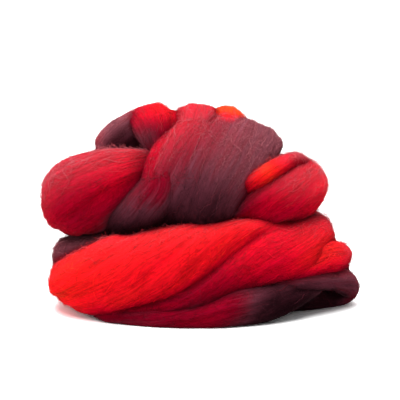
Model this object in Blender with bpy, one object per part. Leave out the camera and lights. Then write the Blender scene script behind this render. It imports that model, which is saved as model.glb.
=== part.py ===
"""Bundle of combed wool roving, one continuous soft rope of fibre that is coiled into a nest on the
table, folded back over it as a hank with a lobe at each end, and wrapped once round the hank's waist.

The bundle is one closed solid, so its turns are built as swept strands and fused into one body.
+X runs along the bundle, -Y is its front and +Z is up. The origin is on the table, under the middle.
"""

import math
from collections import namedtuple

import bmesh
import bpy
import numpy as np

MM = 0.001

# ---------------------------------------------------------------- driving dimensions, in mm
STEP = 8.5  # distance between two rings of a strand
AROUND = 24  # corners in a ring
FEWEST_RINGS = 4  # in the shortest strand
LOCKS = 7  # fibre locks that ripple the skin, round a strand
LOCK_RELIEF = 0.07  # height of a lock, as a share of the strand's half thickness
LOCK_TURNS = 2.2  # turns per metre that the locks take round their strand
LOCK_SPREAD = 1.7  # unevenness of the locks: 0 would make them all alike
VOXEL = 2.6  # grain at which the turns fuse into one skin
KEPT_FACES = 0.18  # share of the fused skin's faces that the flatter stretches need
TIP_REACH = 0.5  # how far a strand's cap reaches past its last ring, in steps
CORE_SEGMENTS = 20  # corners round a ball of packed wool
CORE_RINGS = 10
CUTTER_SIDE = 400.0
CUTTER_DEPTH = 60.0
SHIFT_X = 1.1  # moves the whole bundle, so that the origin is under the middle of its box
SHIFT_Y = -3.8

# A station is one section of a strand: its centre, and its half sizes along and out of the bundle's skin.
Station = namedtuple("Station", "x y z wide thick")
# A spine is the line inside the bundle that a strand's thickness points away from.
Spine = namedtuple("Spine", "x0 x1 y z")
Core = namedtuple("Core", "x y z long deep tall")

NEST = Spine(-62, 62, 4, 34)
HANK = Spine(-66, 62, 4, 90)
CROWN = Spine(-50, 30, 12, 112)

# Each strand: the spine that it lies round, then its stations from one end to the other.
STRANDS = {
    # the nest: the turns that lie on the table
    "front_turn": (
        NEST,
        Station(-78, 36, 14, 8, 9),
        Station(-94, 12, 17, 11, 12),
        Station(-95, -12, 20, 15, 14),
        Station(-86, -32, 24, 20, 17),
        Station(-64, -46, 31, 25, 20),
        Station(-34, -52, 39.5, 26, 21),
        Station(-8, -52, 48, 22, 20),
        Station(12, -50, 55.5, 16.5, 17),
        Station(31, -47, 62, 10.5, 13),
        Station(47, -41, 65, 8, 9.5),
        Station(60, -26, 66, 5, 6),
    ),
    "middle_turn": (
        NEST,
        Station(-60, -50, 9, 8, 8),
        Station(-34, -56, 13, 9, 9),
        Station(-8, -60, 21, 10, 11),
        Station(12, -58, 31, 13, 12),
        Station(31, -52, 42, 18, 13),
        Station(47, -46, 50, 22, 14),
        Station(64, -36, 53.5, 20.5, 14),
        Station(78, -18, 56, 15, 13),
        Station(82, 6, 53, 12, 11),
        Station(74, 28, 50, 8, 9),
    ),
    "lower_turn": (
        NEST,
        Station(-84, -16, 16, 5, 6),
        Station(-70, -41, 9, 8, 9),
        Station(-44, -56, 7, 8, 9),
        Station(-15, -62, 10, 7.5, 9),
        Station(6, -60, 15, 6, 8),
        Station(26, -54, 21, 5, 7),
        Station(46, -48, 27, 5, 7),
        Station(62, -45, 33, 6, 9),
        Station(73, -40, 38, 9, 11),
        Station(84, -28, 41, 13, 13.5),
        Station(92.5, -8, 36.5, 13, 14),
        Station(96, 16, 31, 13, 13),
        Station(86, 38, 28, 11, 10),
        Station(66, 46, 26, 6, 6),
    ),
    "floor_turn": (
        NEST,
        Station(-62, -40, 6, 7, 9),
        Station(-32, -56, 6, 9, 10),
        Station(-2, -62, 8, 10, 11),
        Station(22, -61, 13, 12, 12),
        Station(42, -54, 16, 11, 11),
        Station(58, -45, 19, 8, 9),
    ),
    "floor_lock": (
        NEST,
        Station(14, -55, 5, 6, 8),
        Station(34, -55, 8, 9, 9),
        Station(50, -51, 15, 12, 10),
        Station(66, -42, 20, 11, 10),
        Station(78, -30, 22, 8, 9),
    ),
    "end_fold": (
        NEST,
        Station(40, -47, 25, 7, 7),
        Station(62, -46, 28, 7, 8),
        Station(88, -28, 26, 7, 9),
        Station(104, -7, 19, 8, 9),
        Station(106, 6, 9, 6, 8),
        Station(90, -3, 4, 5, 8),
        Station(66, -14, 6, 5, 8),
        Station(42, -12, 16, 5, 6),
    ),
    "left_turn": (
        NEST,
        Station(-46, -30, 54, 11, 10),
        Station(-70, -30, 47, 14, 12),
        Station(-89, -16, 41, 15, 13),
        Station(-96, 8, 34, 15, 12),
        Station(-92, 34, 27, 15, 13),
        Station(-70, 57, 20, 14, 13),
        Station(-46, 62, 18, 11, 11),
        Station(-22, 46, 24, 6, 6),
    ),
    "back_turn": (
        NEST,
        Station(80, -8, 56, 8, 9),
        Station(82, 20, 52, 14, 13),
        Station(66, 46, 50, 19, 16),
        Station(32, 58, 46, 24, 18),
        Station(-6, 60, 41, 25, 18),
        Station(-46, 54, 40, 21, 17),
        Station(-76, 36, 44, 17, 14),
        Station(-86, 10, 44, 12, 11),
    ),
    "back_floor_turn": (
        NEST,
        Station(98, 0, 14, 9, 8),
        Station(92, 30, 12, 14, 11),
        Station(60, 56, 12, 15, 13),
        Station(18, 67, 11, 14, 13),
        Station(-26, 68, 11, 13, 12),
        Station(-66, 56, 11, 12, 12),
        Station(-86, 32, 12, 11, 10),
        Station(-84, 8, 18, 5, 6),
    ),
    # the hank on the nest: a lobe at each end and a wrap round the waist
    "left_lobe": (
        HANK,
        Station(-22, -22, 106, 8, 8),
        Station(-42, -34, 103, 16, 15),
        Station(-64, -37, 97, 23, 19),
        Station(-83, -30, 87, 28, 20),
        Station(-96, -10, 77, 25, 17),
        Station(-98, 12, 73, 22, 16),
        Station(-84, 34, 72, 21, 17),
        Station(-56, 43, 76, 17, 14),
        Station(-28, 38, 80, 8, 8),
    ),
    "right_lobe": (
        HANK,
        Station(4, -26, 74, 9, 8),
        Station(28, -36, 79, 16, 14),
        Station(52, -36, 85, 20, 17),
        Station(70, -18, 88, 20, 16),
        Station(73, 10, 85, 21, 15),
        Station(64, 34, 85, 20, 16),
        Station(42, 44, 84, 17, 15),
        Station(16, 40, 84, 9, 9),
    ),
    "right_sliver": (
        HANK,
        Station(23, -38, 88, 2, 2),
        Station(29, -43.5, 93, 3.5, 4),
        Station(36, -48, 99, 5, 6),
        Station(45, -47, 105, 6, 7),
        Station(54, -41, 109, 6, 7),
        Station(62, -31, 111, 5.5, 6),
        Station(68, -14, 106.5, 8, 7.5),
        Station(62, 8, 100, 9, 9),
        Station(48, 28, 97, 9, 9),
        Station(30, 38, 92, 6, 6),
    ),
    "waist_wrap": (
        HANK,
        Station(27, 32, 108, 25, 11),
        Station(27, 10, 118, 31, 14),
        Station(21, -10, 121, 36, 17),
        Station(9, -29, 114, 36, 18),
        Station(-3, -42, 102, 34, 18),
        Station(-11, -45, 90, 35, 18),
        Station(-18, -40, 78, 38, 16),
        Station(-26, -28, 66, 40, 13),
        Station(-28, -18, 58, 32, 12),
    ),
    "waist_band": (
        HANK,
        Station(6, -12, 128, 9, 8),
        Station(-10, -26, 124, 12, 9),
        Station(-21, -37, 115, 13, 10),
        Station(-26, -45, 105, 13, 10),
        Station(-28, -50, 95, 13, 11),
        Station(-38, -51, 83, 14, 12),
        Station(-50, -43, 71, 14, 11),
        Station(-60, -28, 62, 11, 9),
    ),
    "inner_turn": (
        HANK,
        Station(-50, -16, 104, 8, 8),
        Station(-66, -14, 103, 12, 11),
        Station(-80, 2, 97, 14, 13),
        Station(-76, 22, 93, 14, 13),
        Station(-56, 32, 93, 14, 12),
        Station(-32, 36, 96, 10, 9),
    ),
    "back_lobe": (
        HANK,
        Station(-84, 22, 74, 7, 7),
        Station(-66, 38, 76, 15, 11),
        Station(-40, 48, 80, 21, 16),
        Station(-6, 46, 88, 23, 16),
        Station(30, 38, 90, 20, 13),
        Station(60, 22, 86, 9, 8),
    ),
    "back_wrap": (
        HANK,
        Station(26, 4, 120, 22, 11),
        Station(24, 30, 115, 27, 13),
        Station(16, 54, 98, 29, 15),
        Station(6, 61, 76, 28, 14),
        Station(-2, 54, 56, 20, 10),
    ),
    # the crown: the short folds over the top
    "crown_roll": (
        CROWN,
        Station(-34, 8, 130, 11, 10),
        Station(-46, -3, 130, 12, 11),
        Station(-57, -8, 125, 13, 11),
        Station(-64, -4, 117, 13, 12),
        Station(-62, 12, 109, 12, 10),
        Station(-52, 28, 98, 9, 8),
        Station(-38, 34, 86, 5, 5),
    ),
    "crown_fold_left": (
        CROWN,
        Station(-30, 46, 96, 12, 8),
        Station(-32, 34, 116, 15, 10),
        Station(-34, 18, 130, 17, 11),
        Station(-35, 2, 135, 18, 12),
        Station(-33, -11, 133, 17, 12),
        Station(-31, -23, 126, 13, 10),
        Station(-26, -32, 115, 7, 6),
    ),
    "crown_fold_middle": (
        CROWN,
        Station(-6, 50, 94, 12, 8),
        Station(-5, 36, 116, 14, 10),
        Station(-5, 20, 130, 16, 11),
        Station(-4, 4, 135.5, 16, 12),
        Station(-5, -10, 133, 15, 11),
        Station(-6, -22, 126, 10, 8),
    ),
    "crown_fold_right": (
        CROWN,
        Station(16, 50, 98, 10, 8),
        Station(18, 36, 117, 12, 9),
        Station(18, 20, 130, 13, 10),
        Station(18, 5, 134, 13, 11.5),
        Station(17, -9, 131, 11, 9),
    ),
}

# The wool packed inside the turns, out of sight.
CORES = (
    Core(0, 2, 34, 84, 54, 32),
    Core(-4, 4, 88, 76, 40, 36),
    Core(-64, 2, 82, 34, 38, 32),
    Core(48, 4, 82, 26, 36, 28),
    Core(-44, 12, 112, 22, 20, 18),
)

RED_WOOL = (0.62, 0.02, 0.03, 1.0)
WOOL_ROUGHNESS = 0.9


# ---------------------------------------------------------------- geometry
def clear_scene():
    for old in list(bpy.data.objects):
        bpy.data.objects.remove(old, do_unlink=True)


def smooth_stations(stations):
    """Stations at even steps on one smooth curve through the given ones, all five columns alike."""
    given = np.array(stations, float)
    hop = np.linalg.norm(np.diff(given[:, :3], axis=0), axis=1)
    at = np.concatenate([[0], np.cumsum(hop)])
    slope = np.diff(given, axis=0) / hop[:, None]
    tangent = np.empty_like(given)
    tangent[0], tangent[-1] = slope[0], slope[-1]
    before, after = hop[:-1, None], hop[1:, None]
    tangent[1:-1] = (slope[:-1] * after + slope[1:] * before) / (before + after)
    where = np.linspace(0, at[-1], max(FEWEST_RINGS, round(at[-1] / STEP) + 1))
    part = np.clip(np.searchsorted(at, where, side="right") - 1, 0, len(hop) - 1)
    span = hop[part][:, None]
    t = (where - at[part])[:, None] / span
    return (
        (2 * t**3 - 3 * t**2 + 1) * given[part]
        + (t**3 - 2 * t**2 + t) * span * tangent[part]
        + (3 * t**2 - 2 * t**3) * given[part + 1]
        + (t**3 - t**2) * span * tangent[part + 1]
    )


def unit(vectors):
    return vectors / np.linalg.norm(vectors, axis=1, keepdims=True)


def ring_axes(centre, spine):
    """Unit vectors across the strand and out of the bundle, at each centre."""
    along = unit(np.gradient(centre, axis=0))
    inner = np.column_stack(
        [
            np.clip(centre[:, 0], spine.x0, spine.x1),
            np.full(len(centre), spine.y),
            np.full(len(centre), spine.z),
        ]
    )
    out = centre - inner
    out = unit(out - along * np.sum(out * along, axis=1, keepdims=True))
    return np.cross(along, out), out


def add_strand(mesh, spine, *stations):
    """Adds one closed strand to a mesh: oval rings with rippled locks, and a blunt cap at each end."""
    table = smooth_stations(stations)
    centre = table[:, :3]
    across, out = ring_axes(centre, spine)
    length = np.concatenate([[0], np.cumsum(np.linalg.norm(np.diff(centre, axis=0), axis=1))])
    angle = np.linspace(0, 2 * math.pi, AROUND, endpoint=False)
    turned = angle[None, :] + 2 * math.pi * LOCK_TURNS * MM * length[:, None]
    swell = 1 + LOCK_RELIEF * np.sin(LOCKS * turned + LOCK_SPREAD * np.sin(turned))
    wide = (table[:, 3:4] * np.cos(angle) * swell)[..., None] * across[:, None, :]
    thick = (table[:, 4:5] * np.sin(angle) * swell)[..., None] * out[:, None, :]
    rings = centre[:, None, :] + wide + thick

    rows = [[mesh.verts.new(point * MM) for point in ring] for ring in rings]
    for low, high in zip(rows, rows[1:]):
        for i in range(AROUND):
            j = (i + 1) % AROUND
            mesh.faces.new((low[i], low[j], high[j], high[i]))
    for row, end, before in ((rows[0], centre[0], centre[1]), (rows[-1], centre[-1], centre[-2])):
        point = mesh.verts.new((end + TIP_REACH * (end - before)) * MM)
        for i in range(AROUND):
            mesh.faces.new((row[i], row[(i + 1) % AROUND], point))


def add_core(mesh, core):
    made = bmesh.ops.create_uvsphere(mesh, u_segments=CORE_SEGMENTS, v_segments=CORE_RINGS, radius=1)["verts"]
    bmesh.ops.scale(mesh, verts=made, vec=(core.long * MM, core.deep * MM, core.tall * MM))
    bmesh.ops.translate(mesh, verts=made, vec=(core.x * MM, core.y * MM, core.z * MM))


def linked(name, mesh):
    data = bpy.data.meshes.new(name)
    mesh.to_mesh(data)
    mesh.free()
    made = bpy.data.objects.new(name, data)
    bpy.context.scene.collection.objects.link(made)
    return made


def table_block():
    """A cutter below z = 0, which trims what would sink into the table to flat patches."""
    mesh = bmesh.new()
    bmesh.ops.create_cube(mesh, size=1)
    bmesh.ops.scale(mesh, verts=mesh.verts, vec=(CUTTER_SIDE * MM, CUTTER_SIDE * MM, CUTTER_DEPTH * MM))
    bmesh.ops.translate(mesh, verts=mesh.verts, vec=(0, 0, -CUTTER_DEPTH * MM / 2))
    block = linked("table_block", mesh)
    block.hide_render = True
    block.display_type = "WIRE"
    return block


def wool_material(name, colour):
    wool = bpy.data.materials.new(name)
    wool.use_nodes = True
    shader = wool.node_tree.nodes["Principled BSDF"]
    shader.inputs["Base Color"].default_value = colour
    shader.inputs["Roughness"].default_value = WOOL_ROUGHNESS
    shader.inputs["Metallic"].default_value = 0.0
    return wool


def outer_skin(name, source):
    """The largest skin of an object's evaluated mesh, without the pockets sealed between its turns."""
    mesh = bmesh.new()
    mesh.from_object(source, bpy.context.evaluated_depsgraph_get())
    unseen = set(mesh.verts)
    skins = []
    while unseen:
        waiting = [unseen.pop()]
        skin = []
        while waiting:
            vert = waiting.pop()
            skin.append(vert)
            for edge in vert.link_edges:
                other = edge.other_vert(vert)
                if other in unseen:
                    unseen.remove(other)
                    waiting.append(other)
        skins.append(skin)
    skins.sort(key=len)
    pockets = [vert for skin in skins[:-1] for vert in skin]
    bmesh.ops.delete(mesh, geom=pockets, context="VERTS")
    return linked(name, mesh)


def fused_turns():
    """Every turn in one mesh, which the Remesh modifier fuses into a single skin with soft creases."""
    mesh = bmesh.new()
    for spine, *stations in STRANDS.values():
        add_strand(mesh, spine, *stations)
    for core in CORES:
        add_core(mesh, core)
    bmesh.ops.recalc_face_normals(mesh, faces=mesh.faces)
    bmesh.ops.translate(mesh, verts=mesh.verts, vec=(SHIFT_X * MM, SHIFT_Y * MM, 0))
    turns = linked("turns", mesh)
    fuse = turns.modifiers.new("fuse_turns", "REMESH")
    fuse.mode = "VOXEL"
    fuse.voxel_size = VOXEL * MM
    fuse.use_smooth_shade = True
    return turns


def roving_bundle():
    turns = fused_turns()
    bundle = outer_skin("roving_bundle", turns)
    bpy.data.objects.remove(turns, do_unlink=True)
    thin = bundle.modifiers.new("fewer_faces", "DECIMATE")
    thin.ratio = KEPT_FACES
    foot = bundle.modifiers.new("flat_foot", "BOOLEAN")
    foot.operation = "DIFFERENCE"
    foot.solver = "EXACT"
    foot.object = table_block()
    bundle.data.materials.append(wool_material("red_wool", RED_WOOL))


def main():
    clear_scene()
    roving_bundle()


main()
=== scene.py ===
"""Scene of a bundle of combed wool roving: each turn of the soft strand is a swept body of wool,
covered with thin combed fibres that follow its flow, stray fibres in small locks and a haze of fuzz.

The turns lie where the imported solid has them. Lengths in the tables are in mm.
"""

import math
from collections import namedtuple

import bpy
import numpy as np
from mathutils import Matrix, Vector


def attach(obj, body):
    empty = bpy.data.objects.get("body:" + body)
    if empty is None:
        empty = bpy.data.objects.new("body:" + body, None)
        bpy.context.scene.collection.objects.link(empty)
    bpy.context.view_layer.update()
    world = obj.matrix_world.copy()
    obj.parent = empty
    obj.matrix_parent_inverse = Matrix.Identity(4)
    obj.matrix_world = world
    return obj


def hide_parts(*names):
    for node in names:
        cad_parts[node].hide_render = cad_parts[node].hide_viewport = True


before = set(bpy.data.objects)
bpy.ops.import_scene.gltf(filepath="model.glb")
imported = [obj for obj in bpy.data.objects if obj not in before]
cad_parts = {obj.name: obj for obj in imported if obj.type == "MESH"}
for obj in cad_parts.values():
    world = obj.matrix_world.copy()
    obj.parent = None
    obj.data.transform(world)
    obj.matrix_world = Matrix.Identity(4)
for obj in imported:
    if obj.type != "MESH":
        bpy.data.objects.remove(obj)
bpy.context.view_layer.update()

MM = 0.001
TAU = 2 * math.pi
BODY = "root"
NODE = "roving_bundle"

# ---------------------------------------------------------------- the strands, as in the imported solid
SHIFT = np.array([1.1, -3.8, 0.0])  # moves the whole bundle over the origin

# A station is one section of a strand: its centre, its half sizes along and out of the bundle's skin,
# the dye at its left and right edges as one follows the strand, and the dye in its middle where that
# isn't halfway between them. The dye runs from -0.5, orange, over 0, orange-red, 0.5, crimson, and 1,
# plum, to 1.5, nearly black. Past plum it is no dye but painted shade, in hollows, undersides and
# crevices. The orange on the tops of the crown's right fold and of the lower turn's knuckle is partly
# orange dye and partly a painted highlight.
Station = namedtuple("Station", "x y z wide thick left right middle", defaults=[None])
# A spine is the line inside the bundle that a strand's thickness points away from.
Spine = namedtuple("Spine", "x0 x1 y z")
# A core is an oval lump of packed wool: its centre and its half sizes.
Core = namedtuple("Core", "x y z long deep tall")

NEST = Spine(-62, 62, 4, 34)
HANK = Spine(-66, 62, 4, 90)
CROWN = Spine(-50, 30, 12, 112)

# Each strand: the spine that it lies round, then its stations from one end to the other.
STRANDS = {
    # the nest: the turns that lie on the table
    "front_turn": (
        NEST,
        Station(-78, 36, 14, 8, 9, 0.5, 0.5),
        Station(-94, 12, 17, 11, 12, 0.2, 0.2),
        Station(-95, -12, 20, 15, 14, -0.1, -0.05),
        Station(-86, -32, 24, 20, 17, -0.14, -0.02),
        Station(-64, -46, 31, 25, 20, -0.06, 0.02),
        Station(-34, -52, 39.5, 26, 21, 0.0, 0.1, 0.06),
        Station(-8, -52, 48, 22, 20, 0.0, 0.16, 0.04),
        Station(12, -50, 55.5, 16.5, 17, 0.0, 0.16, 0.04),
        Station(31, -47, 62, 10.5, 13, 0.02, 0.14, 0.06),
        Station(47, -41, 65, 8, 9.5, 0.12, 0.18),
        Station(60, -26, 66, 5, 6, 0.3, 0.3),
    ),
    "middle_turn": (
        NEST,
        Station(-60, -50, 9, 8, 8, 0.65, 0.7),
        Station(-34, -56, 13, 9, 9, 0.6, 0.65),
        Station(-8, -60, 21, 10, 11, 0.65, 0.85, 0.75),
        Station(12, -58, 31, 13, 12, 0.55, 0.7, 0.6),
        Station(31, -52, 42, 18, 13, 0.25, 0.5, 0.32),
        Station(47, -46, 50, 22, 14, 0.16, 0.38, 0.3),
        Station(64, -36, 53.5, 20.5, 14, 0.36, 0.06, 0.22),
        Station(78, -18, 56, 15, 13, 0.55, 0.05, 0.3),
        Station(82, 6, 53, 12, 11, 0.45, 0.5),
        Station(74, 28, 50, 8, 9, 0.5, 0.5),
    ),
    "lower_turn": (
        NEST,
        Station(-84, -16, 16, 5, 6, 0.55, 0.65),
        Station(-70, -41, 9, 8, 9, 0.85, 1.0),
        Station(-44, -56, 7, 8, 9, 0.75, 0.9),
        Station(-15, -62, 10, 7.5, 9, 0.65, 0.75),
        Station(6, -60, 15, 6, 8, 0.6, 0.7),
        Station(26, -54, 21, 5, 7, 0.5, 0.5),
        Station(46, -48, 27, 5, 7, 0.4, 0.4),
        Station(62, -45, 33, 6, 9, 0.3, 0.4, 0.3),
        # orange left edges here: partly orange dye and partly a painted highlight on the knuckle's
        # ridge
        Station(73, -40, 38, 9, 11, -0.2, 0.4, 0.08),
        Station(84, -28, 41, 13, 13.5, -0.2, 0.34, 0.08),
        Station(92.5, -8, 36.5, 13, 14, 0.1, 0.42, 0.3),
        Station(96, 16, 31, 13, 13, 0.45, 0.5),
        Station(86, 38, 28, 11, 10, 0.5, 0.6),
        Station(66, 46, 26, 6, 6, 0.6, 0.6),
    ),
    "floor_turn": (
        NEST,
        # dye past plum in this turn is painted shade, low under the turns above it
        Station(-62, -40, 6, 7, 9, 1.0, 1.1),
        Station(-32, -56, 6, 9, 10, 0.8, 1.0),
        Station(-2, -62, 8, 10, 11, 0.76, 1.0, 0.68),
        Station(22, -61, 13, 12, 12, 0.78, 1.15, 0.8),
        Station(42, -54, 16, 11, 11, 1.14, 1.38, 1.28),
        Station(58, -45, 19, 8, 9, 1.25, 1.4),
    ),
    "floor_lock": (
        NEST,
        Station(14, -55, 5, 6, 8, 0.8, 0.85),
        # dye past plum from here on is painted shade, low under the turns above it
        Station(34, -55, 8, 9, 9, 1.0, 1.15),
        Station(50, -51, 15, 12, 10, 1.2, 1.4),
        Station(66, -42, 20, 11, 10, 1.2, 1.4),
        Station(78, -30, 22, 8, 9, 1.15, 1.25),
    ),
    "end_fold": (
        NEST,
        Station(40, -47, 25, 7, 7, 0.95, 0.95),
        # dye past plum in the rest of this fold is painted shade, deepest where it returns inside the
        # hollow
        Station(62, -46, 28, 7, 8, 1.05, 1.0),
        Station(88, -28, 26, 7, 9, 1.0, 1.0),
        Station(104, -7, 19, 8, 9, 0.9, 1.0),
        Station(106, 6, 9, 6, 8, 0.8, 0.9),
        Station(90, -3, 4, 5, 8, 1.1, 1.15),
        Station(66, -14, 6, 5, 8, 1.25, 1.25),
        Station(42, -12, 16, 5, 6, 1.25, 1.25),
    ),
    "left_turn": (
        NEST,
        # dye past plum here is painted shade under the left lobe
        Station(-46, -30, 54, 11, 10, 1.15, 1.15),
        Station(-70, -30, 47, 14, 12, 1.1, 1.14),
        Station(-89, -16, 41, 15, 13, 1.1, 1.14),
        Station(-96, 8, 34, 15, 12, 1.0, 1.0),
        Station(-92, 34, 27, 15, 13, 0.98, 0.92),
        Station(-70, 57, 20, 14, 13, 0.9, 0.9),
        Station(-46, 62, 18, 11, 11, 0.85, 0.85),
        Station(-22, 46, 24, 6, 6, 0.8, 0.8),
    ),
    "back_turn": (
        NEST,
        Station(80, -8, 56, 8, 9, 0.5, 0.5),
        Station(82, 20, 52, 14, 13, 0.45, 0.45),
        Station(66, 46, 50, 19, 16, 0.3, 0.35),
        Station(32, 58, 46, 24, 18, 0.1, 0.15),
        Station(-6, 60, 41, 25, 18, 0.05, 0.1),
        Station(-46, 54, 40, 21, 17, 0.2, 0.2),
        Station(-76, 36, 44, 17, 14, 0.6, 0.6),
        Station(-86, 10, 44, 12, 11, 0.9, 0.9),
    ),
    "back_floor_turn": (
        NEST,
        Station(98, 0, 14, 9, 8, 0.95, 0.95),
        Station(92, 30, 12, 14, 11, 0.85, 0.9),
        Station(60, 56, 12, 15, 13, 0.7, 0.75),
        Station(18, 67, 11, 14, 13, 0.55, 0.6),
        Station(-26, 68, 11, 13, 12, 0.5, 0.5),
        Station(-66, 56, 11, 12, 12, 0.6, 0.6),
        Station(-86, 32, 12, 11, 10, 0.7, 0.7),
        Station(-84, 8, 18, 5, 6, 0.8, 0.8),
    ),
    # the hank on the nest: a lobe at each end and a wrap round the waist
    "left_lobe": (
        HANK,
        Station(-22, -22, 106, 8, 8, 0.5, 0.5),
        Station(-42, -34, 103, 16, 15, 0.5, 0.4, 0.25),
        Station(-64, -37, 97, 23, 19, 0.68, 0.4, 0.46),
        Station(-83, -30, 87, 28, 20, 0.74, 0.42, 0.58),
        Station(-96, -10, 77, 25, 17, 0.52, 0.4, 0.46),
        Station(-98, 12, 73, 22, 16, 0.45, 0.42),
        Station(-84, 34, 72, 21, 17, 0.45, 0.45),
        Station(-56, 43, 76, 17, 14, 0.5, 0.5),
        Station(-28, 38, 80, 8, 8, 0.5, 0.5),
    ),
    "right_lobe": (
        HANK,
        Station(4, -26, 74, 9, 8, 0.8, 0.8),
        Station(28, -36, 79, 16, 14, 0.6, 0.7),
        Station(52, -36, 85, 20, 17, 0.42, 0.62, 0.48),
        Station(70, -18, 88, 20, 16, 0.25, 0.45, 0.3),
        Station(73, 10, 85, 21, 15, 0.32, 0.4),
        Station(64, 34, 85, 20, 16, 0.45, 0.5),
        Station(42, 44, 84, 17, 15, 0.55, 0.6),
        Station(16, 40, 84, 9, 9, 0.6, 0.6),
    ),
    "right_sliver": (
        HANK,
        Station(23, -38, 88, 2, 2, 0.4, 0.5),
        Station(29, -43.5, 93, 3.5, 4, 0.42, 0.5),
        Station(36, -48, 99, 5, 6, 0.02, 0.16),
        Station(45, -47, 105, 6, 7, -0.22, -0.1, -0.2),
        Station(54, -41, 109, 6, 7, 0.1, 0.2),
        Station(62, -31, 111, 5.5, 6, 0.38, 0.42),
        Station(68, -14, 106.5, 8, 7.5, 0.42, 0.42),
        Station(62, 8, 100, 9, 9, 0.4, 0.4),
        Station(48, 28, 97, 9, 9, 0.45, 0.45),
        Station(30, 38, 92, 6, 6, 0.5, 0.5),
    ),
    "waist_wrap": (
        HANK,
        Station(27, 32, 108, 25, 11, 1.0, 0.9),
        Station(27, 10, 118, 31, 14, 1.0, 0.85),
        Station(21, -10, 121, 36, 17, 1.0, 0.45, 0.88),
        Station(9, -29, 114, 36, 18, 1.0, 0.3, 0.8),
        Station(-3, -42, 102, 34, 18, 1.02, 0.45, 0.95),
        # dye past plum from here down is painted shade on the wrap's underside, over the spindle
        Station(-11, -45, 90, 35, 18, 1.18, 0.7, 1.12),
        Station(-18, -40, 78, 38, 16, 1.25, 1.3, 1.3),
        Station(-26, -28, 66, 40, 13, 1.35, 1.5, 1.45),
        Station(-28, -18, 58, 32, 12, 1.5, 1.5),
    ),
    "waist_band": (
        HANK,
        Station(6, -12, 128, 9, 8, 0.7, 0.5),
        Station(-10, -26, 124, 12, 9, 0.75, 0.3, 0.45),
        Station(-21, -37, 115, 13, 10, 0.8, 0.3, 0.45),
        Station(-26, -45, 105, 13, 10, 0.9, 0.4, 0.6),
        Station(-28, -50, 95, 13, 11, 1.0, 0.72, 0.65),
        # dye past plum from here on is painted shade at the band's lower end
        Station(-38, -51, 83, 14, 12, 1.3, 0.9, 1.04),
        Station(-50, -43, 71, 14, 11, 1.5, 1.1, 1.38),
        Station(-60, -28, 62, 11, 9, 1.5, 1.5),
    ),
    "inner_turn": (
        HANK,
        # dye past plum here is painted shade in the hollow under the crown
        Station(-50, -16, 104, 8, 8, 1.25, 1.25),
        Station(-66, -14, 103, 12, 11, 1.25, 1.25),
        Station(-80, 2, 97, 14, 13, 0.9, 0.95),
        Station(-76, 22, 93, 14, 13, 0.7, 0.8),
        Station(-56, 32, 93, 14, 12, 0.55, 0.6),
        Station(-32, 36, 96, 10, 9, 0.5, 0.5),
    ),
    "back_lobe": (
        HANK,
        Station(-84, 22, 74, 7, 7, 0.5, 0.5),
        Station(-66, 38, 76, 15, 11, 0.5, 0.5),
        Station(-40, 48, 80, 21, 16, 0.45, 0.4),
        Station(-6, 46, 88, 23, 16, 0.4, 0.35),
        Station(30, 38, 90, 20, 13, 0.4, 0.4),
        Station(60, 22, 86, 9, 8, 0.45, 0.45),
    ),
    "back_wrap": (
        HANK,
        Station(26, 4, 120, 22, 11, 0.95, 0.9),
        Station(24, 30, 115, 27, 13, 1.0, 0.9),
        Station(16, 54, 98, 29, 15, 0.95, 0.75),
        Station(6, 61, 76, 28, 14, 0.9, 0.6),
        Station(-2, 54, 56, 20, 10, 0.8, 0.6),
    ),
    # the crown: the short folds over the top
    "crown_roll": (
        CROWN,
        Station(-34, 8, 130, 11, 10, 0.95, 0.9),
        # dye past plum on this part of the roll is painted shade over the hollow under it
        Station(-46, -3, 130, 12, 11, 1.25, 1.0, 1.0),
        Station(-57, -8, 125, 13, 11, 1.25, 1.0, 1.1),
        Station(-64, -4, 117, 13, 12, 1.2, 0.6, 0.85),
        Station(-62, 12, 109, 12, 10, 0.95, 0.95),
        Station(-52, 28, 98, 9, 8, 0.9, 0.9),
        Station(-38, 34, 86, 5, 5, 0.9, 0.9),
    ),
    "crown_fold_left": (
        CROWN,
        Station(-30, 46, 96, 12, 8, 0.6, 0.6),
        Station(-32, 34, 116, 15, 10, 0.45, 0.45),
        Station(-34, 18, 130, 17, 11, 0.25, 0.4),
        Station(-35, 2, 135, 18, 12, 0.05, 0.5, 0.12),
        Station(-33, -11, 133, 17, 12, 0.1, 0.4, 0.15),
        Station(-31, -23, 126, 13, 10, 0.5, 1.0, 0.76),
        # dye past plum here is painted shade, where the fold dives into the hollow
        Station(-26, -32, 115, 7, 6, 1.2, 1.4),
    ),
    "crown_fold_middle": (
        CROWN,
        Station(-6, 50, 94, 12, 8, 0.5, 0.5),
        Station(-5, 36, 116, 14, 10, 0.4, 0.4),
        Station(-5, 20, 130, 16, 11, 0.22, 0.25),
        Station(-4, 4, 135.5, 16, 12, 0.15, 0.25),
        Station(-5, -10, 133, 15, 11, 0.25, 0.35),
        Station(-6, -22, 126, 10, 8, 0.5, 0.55),
    ),
    "crown_fold_right": (
        CROWN,
        Station(16, 50, 98, 10, 8, 0.4, 0.4),
        Station(18, 36, 117, 12, 9, 0.25, 0.25),
        # orange top of the fold: partly orange dye and partly a painted highlight
        Station(18, 20, 130, 13, 10, -0.4, -0.3),
        Station(18, 5, 134, 13, 11.5, -0.45, -0.4),
        Station(17, -9, 131, 11, 9, -0.25, 0.0),
    ),
}

# The wool packed inside the turns, out of sight.
CORES = (
    Core(0, 2, 34, 84, 54, 32),
    Core(-4, 4, 88, 76, 40, 36),
    Core(-64, 2, 82, 34, 38, 32),
    Core(48, 4, 82, 26, 36, 28),
    Core(-44, 12, 112, 22, 20, 18),
)
CORE_SHRINK = 0.97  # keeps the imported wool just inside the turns
CORE_DYE = 0.75
CORE_ROWS, CORE_COLUMNS = 40, 64  # its corners from end to end, and round it
CORE_BUMPS = ((0.02, 9, 4), (0.015, 5, -7))  # share of its size, waves round it and from end to end

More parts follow.
